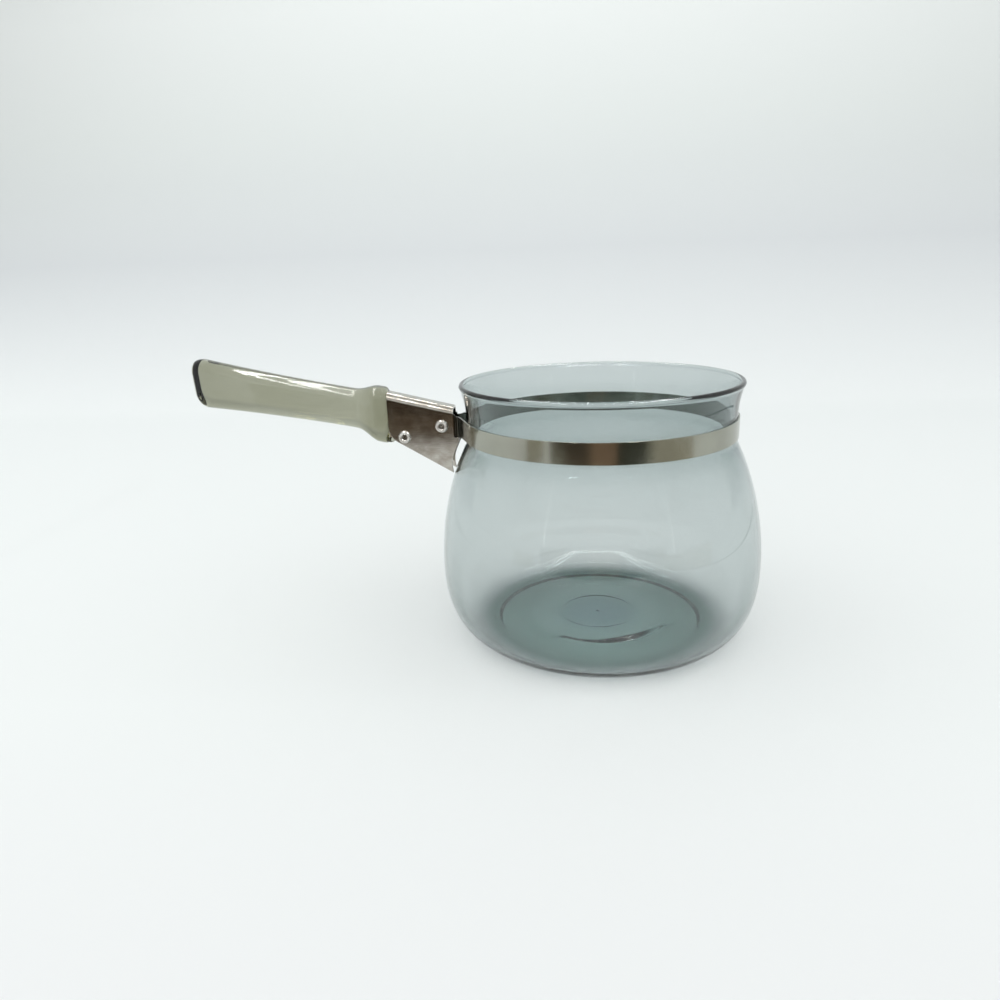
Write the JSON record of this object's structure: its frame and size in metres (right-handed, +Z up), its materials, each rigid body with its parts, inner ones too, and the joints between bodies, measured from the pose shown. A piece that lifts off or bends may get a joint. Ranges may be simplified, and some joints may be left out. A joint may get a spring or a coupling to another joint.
{
  "type": "double boiler pan",
  "caption": "Round glass pan of a double boiler: bulging pot with a flared collar, steel neck strap, folded steel bracket and a solid glass side handle.",
  "frame": {"origin": "centre of the pot's round foot, on the plane that it stands on", "axes": "+Z up along the pot's axis; the handle points along -X; +Y completes the right-handed frame"},
  "size_m": [0.3028, 0.171, 0.1506],
  "materials": {
    "pot_glass": "clear blue-grey glass, polished",
    "handle_glass": "clear straw-green glass, fire polished",
    "strap_steel": "stainless strip, brushed along its length",
    "bracket_steel": "folded stainless sheet, worn polish",
    "rivet_steel": "plated steel rivet, worn",
    "liner_fibre": "pressed fibre packing"
  },
  "bodies": {
    "root": {"pot_glass": "pot_glass", "neck_strap": "strap_steel", "handle_bracket": "bracket_steel", "strap_rivet": "rivet_steel", "strap_rivet_sleeve": "rivet_steel", "handle_glass": "handle_glass", "handle_liner": "liner_fibre", "handle_rivet": "rivet_steel"}
  },
  "joints": []
}
